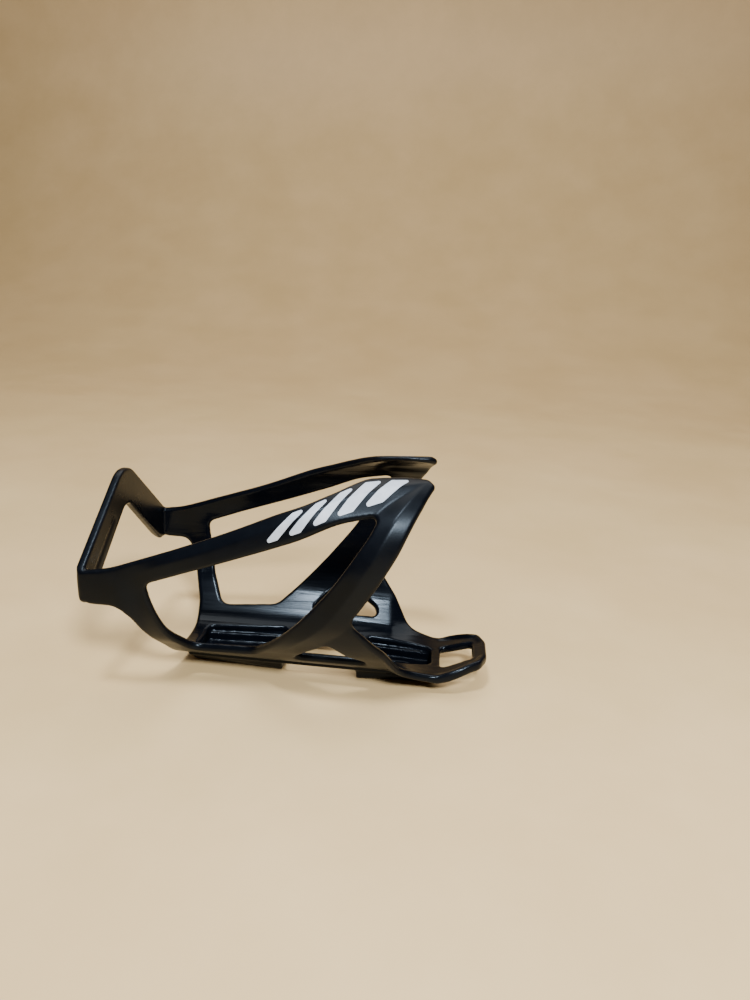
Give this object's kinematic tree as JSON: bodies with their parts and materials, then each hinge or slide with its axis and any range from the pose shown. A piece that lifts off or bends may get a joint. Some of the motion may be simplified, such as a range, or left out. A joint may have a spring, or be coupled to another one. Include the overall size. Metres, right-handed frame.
{
  "type": "water bottle cage",
  "caption": "Open moulded nylon cage that grips a round drinks bottle between two side arms and bolts to a bicycle tube through pocketed mounts.",
  "frame": {"origin": "in the mount plane, on the plane of symmetry, under the middle of the cage's length", "axes": "+X along the frame tube from the foot of the bottle to its neck, +Z out of the mount plane towards the bottle, +Y to the left"},
  "size_m": [0.1488, 0.0804, 0.0859],
  "materials": {
    "moulded_nylon": "black moulded nylon with a fine satin grain outside and a smoother, glossier inside",
    "printed_nylon": "the same black moulded nylon, with pale grey bars printed on its outer face"
  },
  "bodies": {
    "root": {"spine": "moulded_nylon", "upper_tab": "moulded_nylon", "lower_mount": "moulded_nylon", "upper_mount": "moulded_nylon", "right_rail": "moulded_nylon", "left_rail": "moulded_nylon", "bottle_stop": "moulded_nylon", "right_cheek": "moulded_nylon", "right_strut": "moulded_nylon", "right_arm": "printed_nylon", "right_band": "moulded_nylon", "right_leg": "moulded_nylon", "left_cheek": "moulded_nylon", "left_strut": "moulded_nylon", "left_arm": "printed_nylon", "left_band": "moulded_nylon", "left_leg": "moulded_nylon"}
  },
  "joints": []
}
